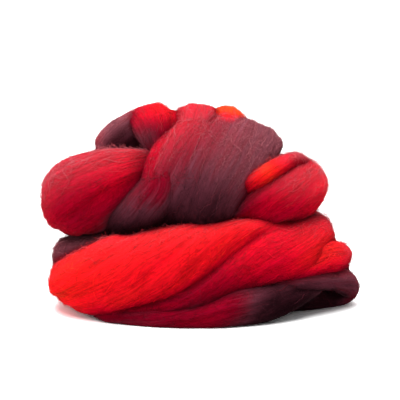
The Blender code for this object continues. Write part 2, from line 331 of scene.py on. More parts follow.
# How the fibres wind round a strand, in turns per metre, where it isn't as in the rest.
TWIST = {
    "front_turn": 1.9,
    "lower_turn": 0.8,
    "left_lobe": 0.6,
    "right_lobe": 4.0,
    "waist_wrap": 0.5,
    "crown_fold_left": 1.5,
    "crown_fold_middle": -1.5,
    "crown_roll": 2.5,
}
USUAL_TWIST = 0.3

# How far a strand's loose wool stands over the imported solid, in mm, where it does.
PUFF = {"front_turn": 1.0, "middle_turn": 1.0, "waist_band": 2.2}

# How far a strand's loose fibre stands up and how strong its painted sheen is, where it isn't 1 as in
# the rest.
FLUFF_AND_PAINTED_SHEEN = {
    "middle_turn": 0.5,
    "lower_turn": 0.6,
    "floor_turn": 0.3,
    "floor_lock": 0.3,
    "waist_wrap": 0.75,
    "waist_band": 0.15,
    "crown_fold_left": 0.18,
}

# The strands whose dye hardly runs into their neighbours'.
CRISP = {"right_sliver", "crown_fold_right"}

# ---------------------------------------------------------------- bodies
STEP = 2.8  # mm between two rings of a strand's body
AROUND = 72  # corners in a ring
TIP_REACH = 3.0  # mm by which a strand's cap reaches past its last ring
CAP_SHARE = 0.03  # share of a body's map that each cap takes
TABLE_CLEARANCE = 0.25  # mm between the table and the lowest wool

# Waves in a strand's skin: ridges round it, turns per metre along it, height in mm.
Ripple = namedtuple("Ripple", "ridges turns height")
RIPPLES = (
    Ripple(2, 5.0, 0.6),
    Ripple(3, -7.0, 0.55),
    Ripple(5, 2.0, 0.5),
    Ripple(8, -2.5, 0.36),
    Ripple(11, 3.0, 0.26),
    Ripple(16, -4.0, 0.16),
)
RIPPLE_SWAY = 0.8  # radians by which a wave wanders to either side
RIPPLE_SWAYS = 9  # how often it wanders in a metre
FULL_THICKNESS = 15.0  # a strand this thick carries the whole ripple, a thinner one less
LEAST_THICKNESS = 0.2  # share of that thickness below which the ripple shrinks no more

# ---------------------------------------------------------------- neighbours
FAR = 99.0  # stands for the distance to wool that is nowhere near
NEIGHBOUR_ROOM = 40.0  # mm round the box of a strand's centre line in which it counts as a neighbour
LEAST_SHARE = 0.05  # keeps a division sound at a strand's centre line
FILLET = 6.0  # mm between two turns from which their wool swells together
CREVICE_REACH = 1.5  # share of a neighbour's section up to which its painted shade reaches
CREVICE_FADE = 1.5  # power by which that painted shade fades
TURNED_START = 0.08  # skins paint shade on each other where 1 minus the cosine between them is above this
TURNED_SPAN = 0.5  # and do so fully when it is this much more
BLEND_WITHIN = 3.0  # mm over which turns of the nest, or of the hank and crown, share their dye
BLEND_ACROSS = 0.8  # the same between the nest and the hank, and for crisp strands

# ---------------------------------------------------------------- fibres
# Fibres of one sort: locks per square cm of skin and fibres in each, ranges of length, radius and lift
# in mm, spread of heading in radians, sideways wobble in mm, share with a free end, and rings in each.
Sort = namedtuple("Sort", "per_cm2 lock length radius lift heading wobble free rings")
COMBED = Sort(3.0, 1, (18, 46), (0.05, 0.1), (0.05, 0.4), 0.06, 0.25, 0.0, 6)
STRAY = Sort(2.3, 2, (7, 20), (0.05, 0.1), (0.2, 1.8), 0.7, 1.1, 0.0, 6)
FUZZ = Sort(56.0, 1, (2.5, 7.5), (0.04, 0.08), (0.2, 3.4), 0.9, 0.35, 0.3, 1)

# The kinds of fibre: their sort and material, how thick a veil of painted sheen they have, how bright
# they are and the spread of their dye.
Kind = namedtuple("Kind", "sort material veil brightness spread")
KINDS = {
    "combed_fibres": Kind(COMBED, "combed_fibre", 0.25, 1.0, 0.07),
    "stray_fibres": Kind(STRAY, "stray_fibre", 1.5, 1.25, 0.15),
    "fuzz": Kind(FUZZ, "loose_fibre", 1.0, 1.0, 0.05),
}

# What is known of many fibres, one row each: points along them and the outward directions there,
# their radius, the dye at each point, painted shade past plum, and the painted crevice shade and
# the loft and painted sheen of the skin that they lie on.
Fibres = namedtuple("Fibres", "lines normals radius dye shade loft")

LOCK_SPREAD = 0.2  # mm between the fibres of a lock
LOCK_STAGGER = 8.0  # they are spread this many times as far along the strand
ROOT_DEPTH = 0.35  # mm by which a fibre's held end sits in the wool
PAST_END = 2.0  # mm past its strand's last ring up to which a fibre is reckoned
BURIED = 0.92  # share of a strand's section inside which a fibre is out of sight
OFF_TABLE = 0.5  # mm over the table below which no fibre is laid
UNEVEN_LIFT = (0.7, 1.3)  # range by which a fibre's lift varies along it
FREE_RISE = 1.5  # power by which a fibre's free end rises
LIFT_FLAT = 0.7  # share of its lift that a fibre keeps where the wool is pressed flat
LIFT_LOFT = 0.7  # share that full loft adds to it
LIFT_SHADE = 0.7  # share that a crevice takes off
# below this height the painted sheen fades, which paints shade towards the table
LOFT_AND_SHEEN_HEIGHT = 62.0  # mm over the table above which fibre stands up fully and the painted sheen is full
LOFT_AND_SHEEN_SIDES = 0.6  # how far a surface that faces left or right gets the lift and painted sheen of an upper one
LOFT_AND_SHEEN_UPWARD, LOFT_AND_SHEEN_RAISED = 1.8, 1.5  # powers by which lift and painted sheen fade with slope and towards the table
TIP_RADIUS = 0.45  # share of its radius that a fibre has near its ends
CELL_EDGE = 0.15  # empty share at the ends of a fibre's cell in the map
CELL_COLUMNS = (0.2, 0.5, 0.8)  # where a fibre's three corners lie across its cell
MOST_TRIANGLES = 180000  # in one piece of fibres

random = np.random.default_rng(20)


# ---------------------------------------------------------------- strand geometry
def with_middle(station):
    """The station with its middle dye halfway between its edges', where it is given none."""
    if station.middle is None:
        return station._replace(middle=(station.left + station.right) / 2)
    return station


def smooth_stations(stations, step):
    """Stations at even steps on one smooth curve through the given ones, all columns alike."""
    given = np.array(stations, float)
    hop = np.linalg.norm(np.diff(given[:, :3], axis=0), axis=1)
    at = np.concatenate([[0], np.cumsum(hop)])
    slope = np.diff(given, axis=0) / hop[:, None]
    tangent = np.empty_like(given)
    tangent[0], tangent[-1] = slope[0], slope[-1]
    before, after = hop[:-1, None], hop[1:, None]
    tangent[1:-1] = (slope[:-1] * after + slope[1:] * before) / (before + after)
    where = np.linspace(0, at[-1], round(at[-1] / step) + 1)
    part = np.clip(np.searchsorted(at, where, side="right") - 1, 0, len(hop) - 1)
    span = hop[part][:, None]
    t = (where - at[part])[:, None] / span
    return (
        (2 * t**3 - 3 * t**2 + 1) * given[part]
        + (t**3 - 2 * t**2 + t) * span * tangent[part]
        + (3 * t**2 - 2 * t**3) * given[part + 1]
        + (t**3 - t**2) * span * tangent[part + 1]
    )


def unit(vectors):
    length = np.linalg.norm(vectors, axis=-1, keepdims=True)
    return vectors / np.maximum(length, 1e-9)


class Strand:
    """One turn of the roving: its centre line, section and dye, read at any distance and angle."""

    def __init__(self, name, spine, stations):
        self.name = name
        self.on_table = spine is NEST
        table = smooth_stations([with_middle(station) for station in stations], STEP)
        self.centre = table[:, :3] + SHIFT
        self.wide, self.thick = table[:, 3], table[:, 4]
        self.dyes = table[:, 5:8]
        self.along = unit(np.gradient(self.centre, axis=0))
        inner = np.column_stack(
            [
                np.clip(table[:, 0], spine.x0, spine.x1),
                np.full(len(table), spine.y),
                np.full(len(table), spine.z),
            ]
        )
        out = table[:, :3] - inner
        self.out = unit(out - self.along * np.sum(out * self.along, axis=1, keepdims=True))
        self.across = np.cross(self.along, self.out)
        hops = np.linalg.norm(np.diff(self.centre, axis=0), axis=1)
        self.distance = np.concatenate([[0], np.cumsum(hops)])
        self.length = self.distance[-1]
        self.twist = TAU * MM * TWIST.get(name, USUAL_TWIST)
        self.phases = random.uniform(0, TAU, (len(RIPPLES), 2))

    def read(self, values, distance):
        """A per-ring table of values, read at any distances along the strand."""
        place = np.clip(distance / self.length, 0, 1) * (len(self.distance) - 1)
        low = np.clip(place.astype(int), 0, len(self.distance) - 2)
        part = place - low
        if values.ndim > 1:
            part = part[..., None]
        return values[low] * (1 - part) + values[low + 1] * part

    def relief(self, distance, angle):
        """Height of the wool's locks over the plain oval, in mm."""
        flow = angle - self.twist * distance
        height = np.full(np.broadcast(distance, angle).shape, PUFF.get(self.name, 0.0))
        for ripple, (first, second) in zip(RIPPLES, self.phases):
            sway = RIPPLE_SWAY * np.sin(TAU * MM * RIPPLE_SWAYS * distance + second)
            wave = np.sin(ripple.ridges * flow + TAU * MM * ripple.turns * distance + first + sway)
            height += ripple.height * wave
        return height

    def skin(self, distance, angle, lift=0.0):
        """Points on the wool's surface, or at a height over it, and the outward directions there."""
        wide = self.read(self.wide, distance)[..., None]
        thick = self.read(self.thick, distance)[..., None]
        across = self.read(self.across, distance)
        out = self.read(self.out, distance)
        cos = np.cos(angle)[..., None]
        sin = np.sin(angle)[..., None]
        normal = unit(cos / wide * across + sin / thick * out)
        slim = np.clip(thick / FULL_THICKNESS, LEAST_THICKNESS, 1.0) ** 2
        rise = self.relief(distance, angle)[..., None] * slim + np.asarray(lift)[..., None]
        point = self.read(self.centre, distance) + wide * cos * across + thick * sin * out
        return point + rise * normal, normal

    def dye(self, distance, angle):
        """Dye across the strand: one smooth run from its left edge over the middle to the right."""
        left, right, middle = np.moveaxis(self.read(self.dyes, distance), -1, 0)
        side = np.cos(angle)
        return middle + 0.5 * (right - left) * side + (0.5 * (left + right) - middle) * side**2

    def reach(self, points):
        """What each point has of this strand: how far out in its section, under 1 being inside it,
        the room between them in mm, and the strand's dye and outward direction on that side.
        """
        found = np.full(len(points), FAR)
        room = np.full(len(points), FAR)
        dye = np.zeros(len(points))
        normal = np.zeros((len(points), 3))
        low, high = self.centre.min(0) - NEIGHBOUR_ROOM, self.centre.max(0) + NEIGHBOUR_ROOM
        near = np.all((points > low) & (points < high), axis=1)
        close = points[near]
        if not len(close):
            return found, room, dye, normal
        square = (
            np.sum(close**2, axis=1)[:, None]
            - 2 * close @ self.centre.T
            + np.sum(self.centre**2, axis=1)
        )
        ring = square.argmin(axis=1)
        arm = close - self.centre[ring]
        u = np.sum(arm * self.across[ring], axis=1) / self.wide[ring]
        w = np.sum(arm * self.out[ring], axis=1) / self.thick[ring]
        past = np.sum(arm * self.along[ring], axis=1) / (2 * STEP)
        share = np.sqrt(u**2 + w**2 + np.maximum(np.abs(past) - 1, 0) ** 2)
        found[near] = share
        room[near] = np.linalg.norm(arm, axis=1) * (1 - 1 / np.maximum(share, LEAST_SHARE))
        dye[near] = self.dye(self.distance[ring], np.arctan2(w, u))
        sideways = (u / self.wide[ring])[:, None] * self.across[ring]
        normal[near] = unit(sideways + (w / self.thick[ring])[:, None] * self.out[ring])
        return found, room, dye, normal


def settled(points):
    """Points kept above the table, where the lowest turns settle flat."""
    low = points[..., 2] < TABLE_CLEARANCE
    points[..., 2] = np.where(low, TABLE_CLEARANCE, points[..., 2])
    return points


def oval(core):
    """The middle and the half sizes of a lump of packed wool."""
    return np.array(core[:3]) + SHIFT, CORE_SHRINK * np.array(core[3:])


# ---------------------------------------------------------------- how turns meet
def surroundings(strand, strands, points, normals):
    """What lies round each point of a strand's skin: how far the other wool is, as a share, and how
    far in mm the turns of its own half, how much painted shade the point gets in a crevice, and how
    much of which colour the turns beside it lend.
    """
    nearest = np.full(len(points), FAR)
    gap = np.full(len(points), FAR)
    shade = np.zeros(len(points))
    pull = np.zeros(len(points))
    drawn = np.zeros(len(points))
    for core in CORES:
        middle, size = oval(core)
        arm = (points - middle) / size
        nearest = np.where(np.sum(arm**2, axis=1) < 1, 0.0, nearest)
    for other in strands:
        if other is strand:
            continue
        share, room, dye, facing = other.reach(points)
        nearest = np.minimum(nearest, share)
        # painted shade: darkness laid in the crevice where two skins turn from each other
        turned = 1 - np.sum(normals * facing, axis=1)
        facing_away = np.clip((turned - TURNED_START) / TURNED_SPAN, 0, 1)
        shade = np.maximum(shade, crevice(share) * facing_away)
        soft = BLEND_ACROSS
        if other.on_table == strand.on_table:
            gap = np.minimum(gap, room)
            if not {strand.name, other.name} & CRISP:
                soft = BLEND_WITHIN
        weight = np.exp(-np.maximum(room, 0) / soft)
        pull += weight
        drawn += weight * dye
    return nearest, gap, shade, pull, drawn


def blended(dye, pull, drawn):
    """A turn's own dye mixed with what its neighbours lend, half and half where they touch."""
    return (dye + drawn) / (1 + pull)


def fillet(gap):
    """How far the wool swells into the groove beside a neighbour, in mm."""
    return np.maximum(FILLET - np.maximum(gap, 0), 0) ** 2 / (4 * FILLET)


def crevice(nearest):
    """Painted shade: 1 where two turns press together, down to 0 in the open."""
    return np.clip((CREVICE_REACH - nearest) / (CREVICE_REACH - 1), 0, 1) ** CREVICE_FADE


def lofted_with_painted_sheen(strand, points, normals, shade):
    """How far loose fibre stands up, which is also how strong the painted sheen is: 1 on the open top,
    less at the ends, 0 underneath, in a crevice and low down, where its fading towards the table
    paints shade.
    """
    upward = np.clip(normals[:, 2] + LOFT_AND_SHEEN_SIDES * np.abs(normals[:, 0]), 0, 1) ** LOFT_AND_SHEEN_UPWARD
    raised = np.clip(points[:, 2] / LOFT_AND_SHEEN_HEIGHT, 0, 1) ** LOFT_AND_SHEEN_RAISED
    return FLUFF_AND_PAINTED_SHEEN.get(strand.name, 1.0) * upward * raised * (1 - shade)


# ---------------------------------------------------------------- meshes
def placed(name, data):
    """A new object in the scene, made of the data."""
    thing = bpy.data.objects.new(name, data)
    bpy.context.scene.collection.objects.link(thing)
    return thing


def mesh_piece(name, points, polygons, material, values, places=None):
    """A smooth mesh from arrays: points in mm, polygon arrays, per-point values and a UV map."""
    data = bpy.data.meshes.new(name)
    data.vertices.add(len(points))
    data.vertices.foreach_set("co", (points * MM).astype(np.float32).ravel())
    corners = np.concatenate([group.ravel() for group in polygons]).astype(np.int32)
    sizes = np.concatenate([np.full(len(group), group.shape[1]) for group in polygons])
    starts = np.concatenate([[0], np.cumsum(sizes)[:-1]]).astype(np.int32)
    data.loops.add(len(corners))
    data.loops.foreach_set("vertex_index", corners)
    data.polygons.add(len(sizes))
    data.polygons.foreach_set("loop_start", starts)
    data.polygons.foreach_set("use_smooth", np.ones(len(sizes), bool))
    data.update(calc_edges=True)
    for key, value in values.items():
        if value.ndim > 1:
            layer = data.attributes.new(key, "FLOAT_VECTOR", "POINT")
            layer.data.foreach_set("vector", value.astype(np.float32).ravel())
        else:
            layer = data.attributes.new(key, "FLOAT", "POINT")
            layer.data.foreach_set("value", value.astype(np.float32))
    if places is not None:
        layer = data.uv_layers.new(name="OFBake")
        layer.uv.foreach_set("vector", places.astype(np.float32).ravel())
    data.materials.append(material)
    piece = placed(name, data)
    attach(piece, BODY)
    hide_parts(NODE)


def body_map(rings):
    """Where each corner of a body lies in its map: the sides in rows, then the caps as teeth."""
    u = np.arange(AROUND + 1) / AROUND
    v = np.linspace(CAP_SHARE, 1 - CAP_SHARE, rings)
    row = np.repeat(np.arange(rings - 1), AROUND)
    column = np.tile(np.arange(AROUND), rings - 1)
    left, right = u[column], u[column + 1]
    low, high = v[row], v[row + 1]
    sides = ((left, low), (right, low), (right, high), (left, high))
    left, right = u[:-1], u[1:]
    middle = left + 0.5 / AROUND
    full = np.ones(AROUND)
    start = ((right, v[0] * full), (left, v[0] * full), (middle, 0 * full))
    end = ((left, v[-1] * full), (right, v[-1] * full), (middle, full))
    places = []
    for corners in (sides, start, end):
        corners = [np.stack(corner, axis=-1) for corner in corners]
        places.append(np.stack(corners, axis=1).reshape(-1, 2))
    return np.concatenate(places)


def capped(rows, columns):
    """The faces of a closed tube: its rings of points in rows, and its two tips as the last points."""
    index = np.arange(rows * columns).reshape(rows, columns)
    after = np.roll(index, -1, axis=1)
    sides = np.stack([index[:-1], after[:-1], after[1:], index[1:]], axis=-1).reshape(-1, 4)
    tip = np.full(columns, rows * columns)
    starts = np.stack([after[0], index[0], tip], axis=-1)
    ends = np.stack([index[-1], after[-1], tip + 1], axis=-1)
    return [sides, starts, ends]


def wool_body(strand, strands, material):
    """The strand's own surface: oval rings raised by its locks, with a cap at each end."""
    distance = strand.distance[:, None]
    angle = np.linspace(0, TAU, AROUND, endpoint=False)[None, :]
    distances, angles = distance + 0 * angle, angle + 0 * distance
    plain, normals = strand.skin(distances, angles)
    plain, normals = plain.reshape(-1, 3), normals.reshape(-1, 3)
    _, gap, shade, pull, drawn = surroundings(strand, strands, plain, normals)
    loft = lofted_with_painted_sheen(strand, plain, normals, shade)
    swell = fillet(gap).reshape(angles.shape)
    rings, _ = strand.skin(distances, angles, swell)
    count = len(strand.distance)
    first = strand.centre[:1] - TIP_REACH * strand.along[:1]
    last = strand.centre[-1:] + TIP_REACH * strand.along[-1:]
    points = settled(np.concatenate([rings.reshape(-1, 3), first, last]))

    dye = blended(strand.dye(distance, angle).ravel(), pull, drawn)
    radius = 0.5 * (strand.wide + strand.thick).mean()
    flow = angle - strand.twist * distance
    grain = [radius * np.cos(flow), radius * np.sin(flow), distance + 0 * flow]
    grain = np.stack(grain, axis=-1).reshape(-1, 3)
    values = {
        "dye": np.concatenate([dye, dye[[0, -1]]]),
        "grain": np.concatenate([grain, grain[[0, -1]]]),
        # painted shade: the caps, which dive into the bundle, are fully shaded
        "shade": np.concatenate([shade, [1.0, 1.0]]),
        "loft": np.concatenate([loft, [0.0, 0.0]]),
    }
    faces = capped(count, AROUND)
    mesh_piece("wool_" + strand.name, points, faces, material, values, body_map(count))


def packed_wool(core, number, material):
    """Wool inside the turns, which closes the gaps between them, painted in full shade."""
    polar = np.linspace(0, math.pi, CORE_ROWS + 2)[1:-1, None]
    angle = np.linspace(0, TAU, CORE_COLUMNS, endpoint=False)[None, :]
    bumps = 1.0
    for height, around, along in CORE_BUMPS:
        bumps = bumps + height * np.sin(around * angle + along * polar)
    middle, size = oval(core)
    grid = np.stack(
        [
            np.cos(polar) * bumps,
            np.sin(polar) * np.cos(angle) * bumps,
            np.sin(polar) * np.sin(angle) * bumps,
        ],
        axis=-1,
    )
    poles = np.array([[1.0, 0, 0], [-1.0, 0, 0]])
    points = settled(np.concatenate([grid.reshape(-1, 3), poles]) * size + middle)
    # its rings run the other way round than a strand's, so its faces are turned over
    faces = [np.roll(face[:, ::-1], 1, axis=1) for face in capped(CORE_ROWS, CORE_COLUMNS)]
    values = {
        "dye": np.full(len(points), CORE_DYE),
        "grain": points[:, [1, 2, 0]],
        # painted shade: the packed wool is fully shaded
        "shade": np.ones(len(points)),
        "loft": np.zeros(len(points)),
    }
    mesh_piece(f"packed_wool_{number}", points, faces, material, values)


# ---------------------------------------------------------------- fibre geometry
def fibre_mesh(name, fibres, tone, material):
    """Closed three-sided tubes, pointed at both ends, along many lines of points at once."""
    lines = fibres.lines
    count, stops = lines.shape[:2]
    along = unit(np.gradient(lines, axis=1))
    straight = np.sum(fibres.normals * along, axis=-1, keepdims=True)
    up = unit(fibres.normals - along * straight)
    side = np.cross(along, up)
    inner = stops - 2
    place = np.linspace(0, 1, stops)[None, 1:-1]
    thickness = TIP_RADIUS + (1 - TIP_RADIUS) * np.sin(math.pi * place)
    taper = fibres.radius[:, None] * thickness
    turns = TAU * np.arange(3) / 3 + TAU / 4
    sideways = np.cos(turns)[:, None] * side[:, 1:-1, None, :]
    upwards = np.sin(turns)[:, None] * up[:, 1:-1, None, :]
    rings = lines[:, 1:-1, None, :] + taper[..., None, None] * (sideways + upwards)
    rings = rings.reshape(count, inner * 3, 3)
    points = settled(np.concatenate([lines[:, :1], rings, lines[:, -1:]], axis=1))
    size = inner * 3 + 2
    corner = np.arange(3)
    beside = (corner + 1) % 3
    ring = 1 + 3 * np.arange(inner - 1)[:, None]
    quads = np.stack([ring + corner, ring + beside, ring + 3 + beside, ring + 3 + corner], axis=-1)
    last = 1 + 3 * (inner - 1)
    caps = np.concatenate(
        [
            np.stack([1 + beside, 1 + corner, 0 * corner], axis=-1),
            np.stack([last + corner, last + beside, 0 * corner + size - 1], axis=-1),
        ]
    )
    offset = size * np.arange(count)[:, None, None]
    quads = quads.reshape(-1, 4)[None] + offset
    caps = caps[None] + offset

    # each fibre has a small cell of its own in the map
    across = math.ceil(math.sqrt(count))
    cell = np.stack([np.arange(count) % across, np.arange(count) // across], axis=-1) / across
    height = np.linspace(CELL_EDGE, 1 - CELL_EDGE, stops)
    point_u = np.concatenate([[0.5], np.tile(CELL_COLUMNS, inner), [0.5]])
    point_v = np.concatenate([[height[0]], np.repeat(height[1:-1], 3), [height[-1]]])
    local = np.stack([point_u, point_v], axis=-1) / across
    flat = np.concatenate([quads.ravel(), caps.ravel()])
    places = cell[flat // size] + local[flat % size]

    values = {
        "dye": np.repeat(fibres.dye, [1] + [3] * inner + [1], axis=1).ravel(),
        "tone": np.repeat(tone, size),
        # painted shade and painted sheen of the skin under each fibre
        "shade": np.repeat(fibres.shade, size),
        "loft": np.repeat(fibres.loft, size),
    }
    polygons = [quads.reshape(-1, 4), caps.reshape(-1, 3)]
    mesh_piece(name, points.reshape(-1, 3), polygons, material, values, places)


def even_places(strand, per_cm2):
    """Distances and angles spread evenly over a strand's skin."""
    widest = max(strand.wide.max(), strand.thick.max())
    per_mm2 = per_cm2 / 100
    tries = int(per_mm2 * TAU * widest * strand.length)
    distance = random.uniform(0, strand.length, tries)
    angle = random.uniform(0, TAU, tries)
    element = np.hypot(
        strand.read(strand.wide, distance) * np.sin(angle),
        strand.read(strand.thick, distance) * np.cos(angle),
    )
    kept = random.uniform(0, widest, tries) < element
    return distance[kept], angle[kept]


def lying_fibres(strand, strands, sort):
    """Fibres that follow the strand's flow in small locks, held in it at both ends or at one."""
    distance, angle = even_places(strand, sort.per_cm2)
    point, normal = strand.skin(distance, angle)
    nearest, gap, shade, pull, drawn = surroundings(strand, strands, point, normal)
    loft = lofted_with_painted_sheen(strand, point, normal, shade)
    shown = np.flatnonzero((nearest > BURIED) & (point[:, 2] > OFF_TABLE))
    locks = len(shown)
    stops = sort.rings + 2
    part = np.linspace(-0.5, 0.5, stops)[None, :]
    run = part * random.uniform(*sort.length, (locks, 1))
    heading = random.normal(0, sort.heading, (locks, 1))
    wobble = random.normal(0, sort.wobble, (locks, stops))
    low, high = sort.lift
    top = low + (high - low) * random.uniform(0, 1, (locks, 1)) ** 2
    top *= (LIFT_FLAT + LIFT_LOFT * loft[shown, None]) * (1 - LIFT_SHADE * shade[shown, None])

    # the fibres of a lock share its path, a hair's breadth apart
    lock = np.repeat(np.arange(locks), sort.lock)
    owner = shown[lock]
    count = len(owner)
    beside = random.normal(0, LOCK_SPREAD, (count, 1)) if sort.lock > 1 else 0.0
    start = distance[owner, None] + LOCK_STAGGER * beside
    way = np.clip(start + (run * np.cos(heading))[lock], -PAST_END, strand.length + PAST_END)
    radius = np.maximum(strand.read(strand.wide, way), strand.read(strand.thick, way))
    turned = angle[owner, None] + strand.twist * (way - distance[owner, None])
    turned = turned + ((run * np.sin(heading) + wobble)[lock] + beside) / radius
    is_free = random.uniform(0, 1, (count, 1)) < sort.free
    shape = np.where(is_free, (0.5 + part) ** FREE_RISE, 1 - (2 * part) ** 2)
    height = top[lock] * random.uniform(*UNEVEN_LIFT, (count, stops))
    rise = (height + ROOT_DEPTH) * shape - ROOT_DEPTH
    lines, normals = strand.skin(way, turned, fillet(gap[owner])[:, None] + rise)
    dye = blended(strand.dye(way, turned), pull[owner, None], drawn[owner, None])
    radius = random.uniform(*sort.radius, count)
    return Fibres(lines, normals, radius, dye, shade[owner], loft[owner])


def fibre_pieces(name, strands, sort, material, spread):
    """Fibres of all the strands, joined into pieces, with a spread of dye between them."""
    found = [lying_fibres(strand, strands, sort) for strand in strands]
    fibres = Fibres(*(np.concatenate(column) for column in zip(*found)))
    count = len(fibres.lines)
    fibres = fibres._replace(dye=fibres.dye + random.normal(0, spread, (count, 1)))
    tone = random.uniform(0, 1, count)
    triangles = 6 * sort.rings * count
    pieces = math.ceil(triangles / MOST_TRIANGLES)
    for number in range(pieces):
        part = slice(number * count // pieces, (number + 1) * count // pieces)
        own = Fibres(*(column[part] for column in fibres))
        fibre_mesh(f"{name}_{number + 1}", own, tone[part], material)
    print(name, count, "fibres,", triangles, "triangles in", pieces, "pieces")


# ---------------------------------------------------------------- materials
# The wool's linear colour at each value of the dye. The orange end also serves painted highlights on
# some tops, and the two stops past plum are painted shade.
DYES_AND_PAINTED_SHADE = (
    (-0.50, (0.95, 0.100, 0.020, 1)),
    (-0.10, (0.88, 0.011, 0.011, 1)),
    (0.25, (0.70, 0.002, 0.016, 1)),
    (0.50, (0.42, 0.000, 0.014, 1)),
    (0.75, (0.205, 0.001, 0.013, 1)),
    (1.00, (0.104, 0.021, 0.034, 1)),
    # painted shade: the stops past plum darken hollows, undersides and crevices
    (1.25, (0.022, 0.005, 0.008, 1)),
    (1.50, (0.006, 0.001, 0.002, 1)),
)
LIGHTEST, DARKEST = DYES_AND_PAINTED_SHADE[0][0], DYES_AND_PAINTED_SHADE[-1][0]
PAINTED_SHEEN = (0.75, 0.23, 0.27, 1)  # colour of the painted sheen, pale as fibre ends that catch the light
PAINTED_SHEEN_RISE = (0.7, 0.3)  # slope and start of the painted sheen's share as the dye darkens
PAINTED_SHEEN_FALL = (-3.5, 4.4)  # slope and start of its fall to nothing at nearly black, in the painted shade
CRIMP = 2.4  # mm by which the crimp sways a streak
SHADE_DARKENS = 0.7  # how much darker the painted shade makes the wool deep in a crevice
SHADE_DYES = 0.1  # how much further along the dyes, towards the dark, the painted shade takes the wool there
TONE_SPAN, TONE_LEAST = 1.1, 0.45  # a fibre's brightness lies up to the first over the second

# How fine the wool's pattern is, in waves per mm: both ways across the fibre, then along it.
CRIMP_GRAIN = (0.1, 0.1, 0.05)
LOCK_GRAIN = (0.2, 0.2, 0.012)
STREAK_GRAIN = (1.05, 1.05, 0.03)
HAIR_GRAIN = (2.8, 2.8, 0.12)

# How much that pattern sways the body's dye and its brightness.
LOCK_DYE, STREAK_DYE = 0.42, 0.34
STREAK_TONE, HAIR_TONE, LOCK_TONE = 1.2, 0.9, 1.3
FINE_CONTRAST = 1.35
BODY_PAINTED_SHEEN = 0.2  # how strong the body's painted sheen is


def math_node(tree, operation, first, second):
    node = tree.nodes.new("ShaderNodeMath")
    node.operation = operation
    for socket, value in zip(node.inputs, (first, second)):
        if isinstance(value, (int, float)):
            socket.default_value = value
        else:
            tree.links.new(value, socket)
    return node.outputs[0]


def noise_node(tree, vector, detail, roughness=0.55):
    noise = tree.nodes.new("ShaderNodeTexNoise")
    noise.inputs["Scale"].default_value = 1.0
    noise.inputs["Detail"].default_value = detail
    noise.inputs["Roughness"].default_value = roughness
    tree.links.new(vector, noise.inputs["Vector"])
    return noise


def read_node(tree, name, output):
    """A value or vector that the mesh carries at each point."""
    node = tree.nodes.new("ShaderNodeAttribute")
    node.attribute_name = name
    return node.outputs[output]


def brightened(tree, colour, amount):
    """A colour made brighter or darker by an amount round 1."""
    node = tree.nodes.new("ShaderNodeVectorMath")
    node.operation = "SCALE"
    tree.links.new(colour, node.inputs[0])
    tree.links.new(amount, node.inputs["Scale"])
    return node.outputs[0]


def stretched(tree, vector, scale):
    node = tree.nodes.new("ShaderNodeVectorMath")
    node.operation = "MULTIPLY"
    tree.links.new(vector, node.inputs[0])
    node.inputs[1].default_value = scale
    return node.outputs[0]


def scaled(tree, value, scale, shift):
    product = math_node(tree, "MULTIPLY_ADD", value, scale)
    product.node.inputs[2].default_value = shift
    return product


def centred(tree, noise, span):
    """A noise made to spread over a span round 0."""
    return scaled(tree, noise, span, -span / 2)


def crimped_grain(tree):
    """Place in the wool, with its third axis along the fibre, swayed sideways as crimp sways fibre."""
    grain = read_node(tree, "grain", "Vector")
    sway = noise_node(tree, stretched(tree, grain, CRIMP_GRAIN), 1, 0.5)
    offset = tree.nodes.new("ShaderNodeVectorMath")
    offset.operation = "MULTIPLY_ADD"
    tree.links.new(sway.outputs["Color"], offset.inputs[0])
    offset.inputs[1].default_value = (CRIMP, CRIMP, 0)
    tree.links.new(grain, offset.inputs[2])
    return offset.outputs[0]


def dyed_with_painted_shade(tree, dye):
    """The wool's colour for a value on its scale, whose end past plum is painted shade."""
    ramp = tree.nodes.new("ShaderNodeValToRGB")
    elements = ramp.color_ramp.elements
    while len(elements) < len(DYES_AND_PAINTED_SHADE):
        elements.new(0.5)
    for element, (place, colour) in zip(elements, DYES_AND_PAINTED_SHADE):
        element.position = (place - LIGHTEST) / (DARKEST - LIGHTEST)
        element.color = colour
    span = DARKEST - LIGHTEST
    tree.links.new(scaled(tree, dye, 1 / span, -LIGHTEST / span), ramp.inputs["Fac"])
    return ramp.outputs["Color"]


def with_painted_sheen(tree, colour, dye, amount):
    """The colour under a painted sheen, pale as lit fibre ends: strongest on the open upper side and
    over plum, and gone where the wool is painted nearly black.
    """
    veil = tree.nodes.new("ShaderNodeMix")
    veil.data_type = "RGBA"
    least = math_node(tree, "MINIMUM", scaled(tree, dye, *PAINTED_SHEEN_RISE), scaled(tree, dye, *PAINTED_SHEEN_FALL))
    share = math_node(tree, "MAXIMUM", least, 0.0)
    loft = scaled(tree, read_node(tree, "loft", "Fac"), amount, 0.0)
    tree.links.new(math_node(tree, "MULTIPLY", loft, share), veil.inputs["Factor"])
    tree.links.new(colour, veil.inputs["A"])
    veil.inputs["B"].default_value = PAINTED_SHEEN
    return veil.outputs["Result"]


def shaded(tree, tone, shade):
    """A tone darkened in the crevices by painted shade."""
    return math_node(tree, "MULTIPLY", tone, scaled(tree, shade, -SHADE_DARKENS, 1.0))


